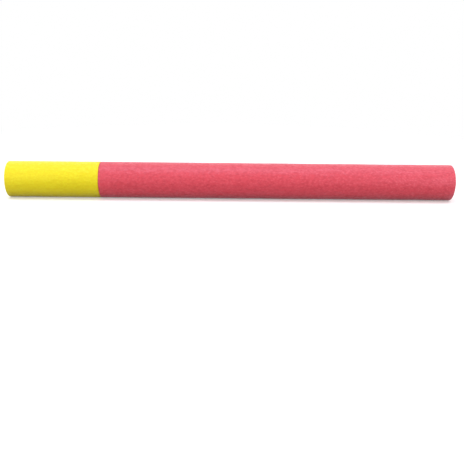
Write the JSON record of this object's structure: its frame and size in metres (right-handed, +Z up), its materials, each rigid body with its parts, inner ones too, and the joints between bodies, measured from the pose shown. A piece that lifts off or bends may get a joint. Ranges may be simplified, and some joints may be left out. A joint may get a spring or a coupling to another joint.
{
  "type": "foam water squirter",
  "caption": "Long round foam-covered hand pump for pool play: a foam handle draws a plunger rod out of a foam barrel to fill it through the nozzle, then pushes it in to squirt.",
  "frame": {"origin": "on the table, under the middle of the squirter's length, with the plunger pushed home", "axes": "+X along the pump's axis towards the nozzle, +Z up, +Y away from the viewer of the picture"},
  "size_m": [0.5602, 0.045, 0.0445],
  "materials": {
    "red_foam": "matt closed-cell polyethylene foam, raspberry red",
    "yellow_foam": "matt closed-cell polyethylene foam, lemon yellow",
    "white_plastic": "moulded, fine satin",
    "white_rod": "extruded tube, smooth",
    "pale_tube": "extruded tube, smooth",
    "ring_rubber": "smooth black rubber"
  },
  "bodies": {
    "barrel": {"barrel_foam": "red_foam", "barrel_tube": "pale_tube", "nozzle": "white_plastic", "rod_guide_bush": "white_plastic"},
    "piston_rings": {"piston_ring_1": "ring_rubber", "piston_ring_2": "ring_rubber"},
    "plunger": {"plunger_rod": "white_rod", "piston": "white_plastic", "handle_foam": "yellow_foam", "handle_tube": "pale_tube", "handle_bush": "white_plastic", "handle_end_cap": "white_plastic"}
  },
  "joints": [
    {"name": "plunger_slide", "type": "slide", "parent": "barrel", "child": "piston_rings", "axis": [-1, 0, 0], "range_m": [0, 0.376]},
    {"name": "plunger_turn", "type": "hinge", "parent": "piston_rings", "child": "plunger", "pos_m": [0, 0, 0.022], "axis": [1, 0, 0], "continuous": true}
  ]
}
